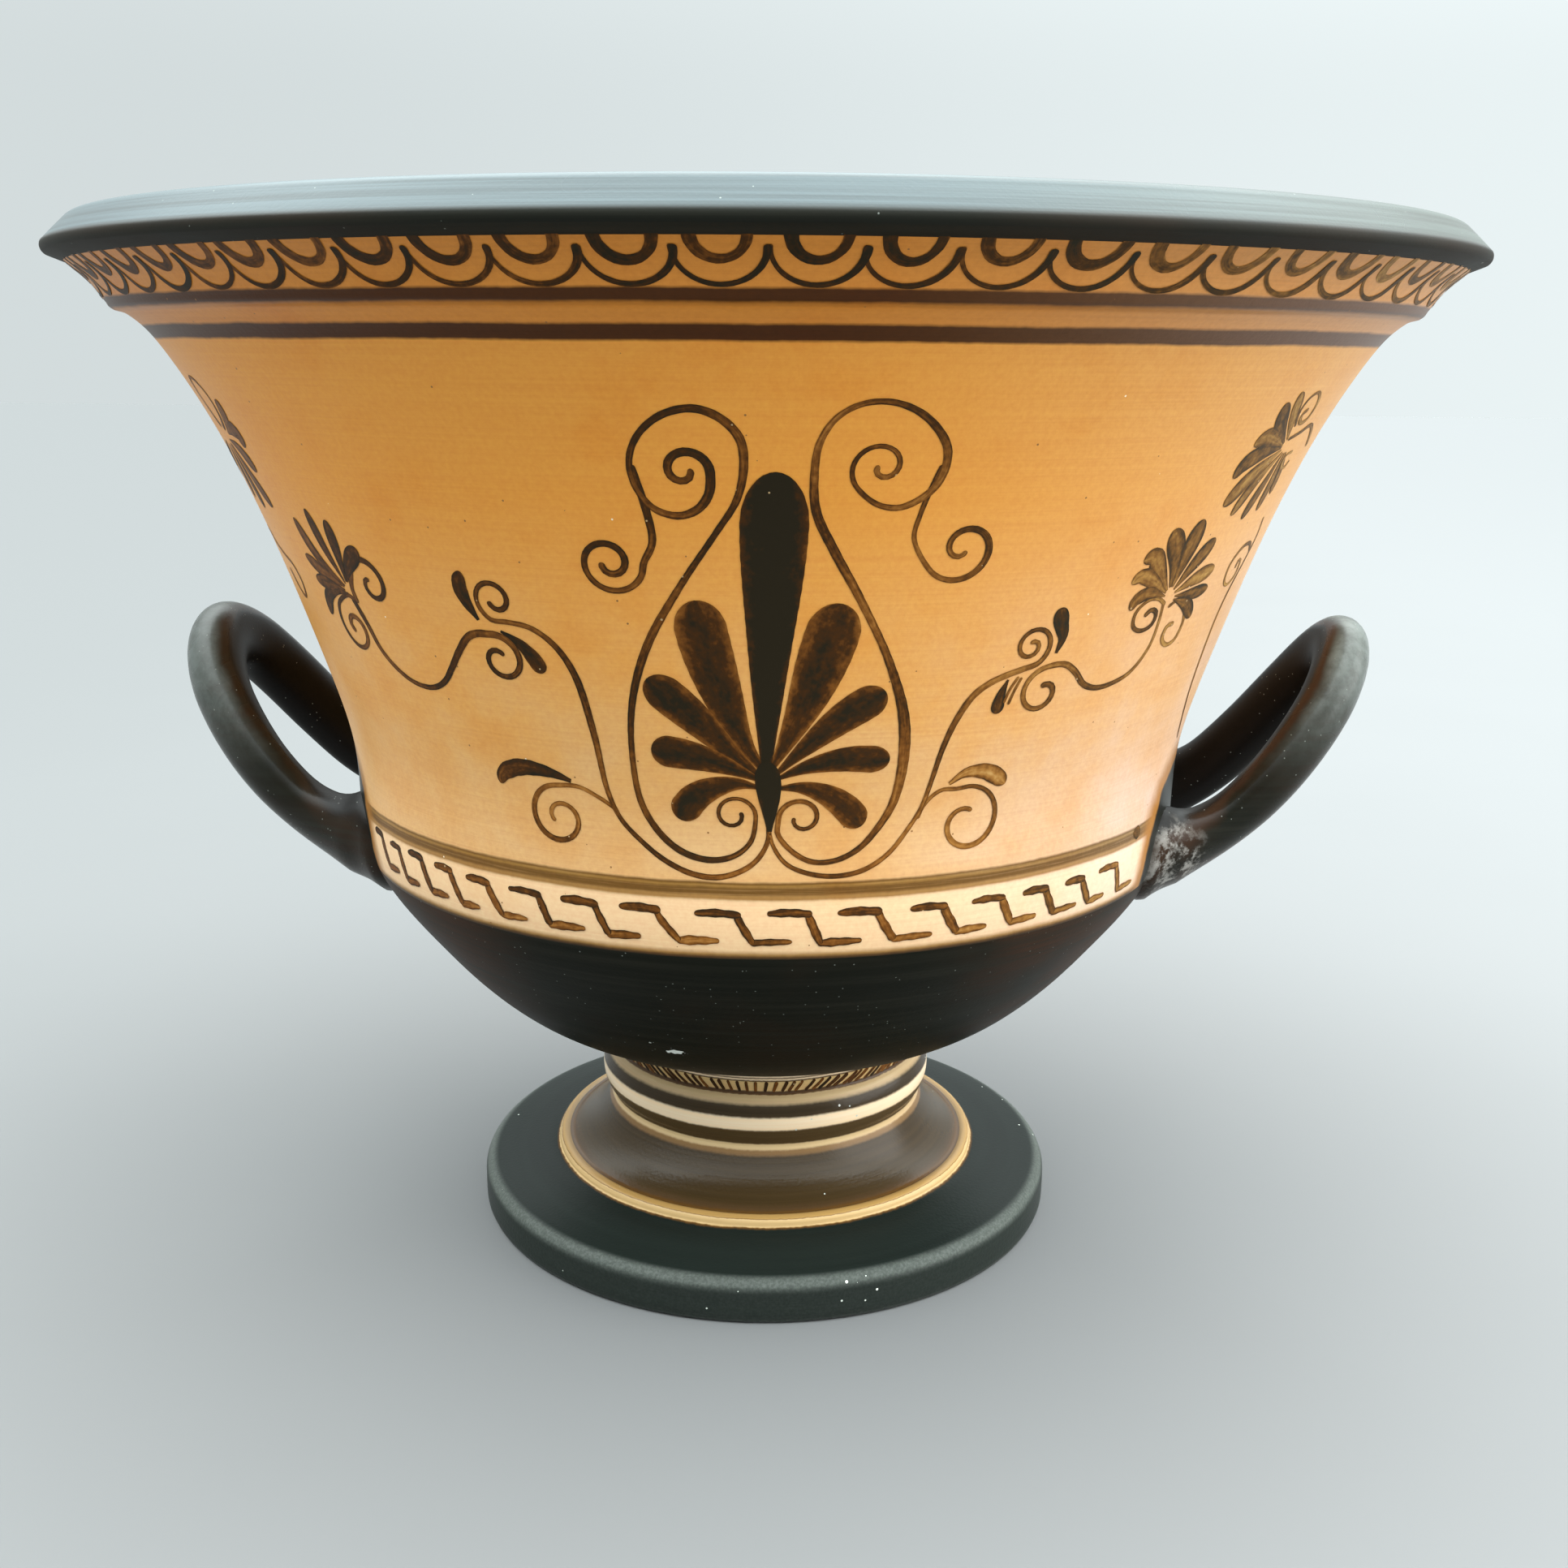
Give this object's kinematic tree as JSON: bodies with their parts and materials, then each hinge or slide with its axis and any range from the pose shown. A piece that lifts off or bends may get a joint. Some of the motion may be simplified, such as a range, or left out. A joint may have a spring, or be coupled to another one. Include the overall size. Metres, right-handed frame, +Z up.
{
  "type": "krater",
  "caption": "Footed mixing bowl of painted clay with a flaring wall, a heavy lip, a moulded stem on a disc foot and a loop handle at each side.",
  "frame": {"origin": "centre of the foot's underside, on the pot's axis", "axes": "+Z up along the pot's axis; the handles lie along X, with the wider loop on -X; the main palmette faces -Y, turned 4.6 degrees towards +X"},
  "size_m": [0.2746, 0.274, 0.209],
  "materials": {
    "painted_clay": "satin black and brown slip over orange-tan clay"
  },
  "bodies": {
    "root": {"krater": "painted_clay"}
  },
  "joints": []
}
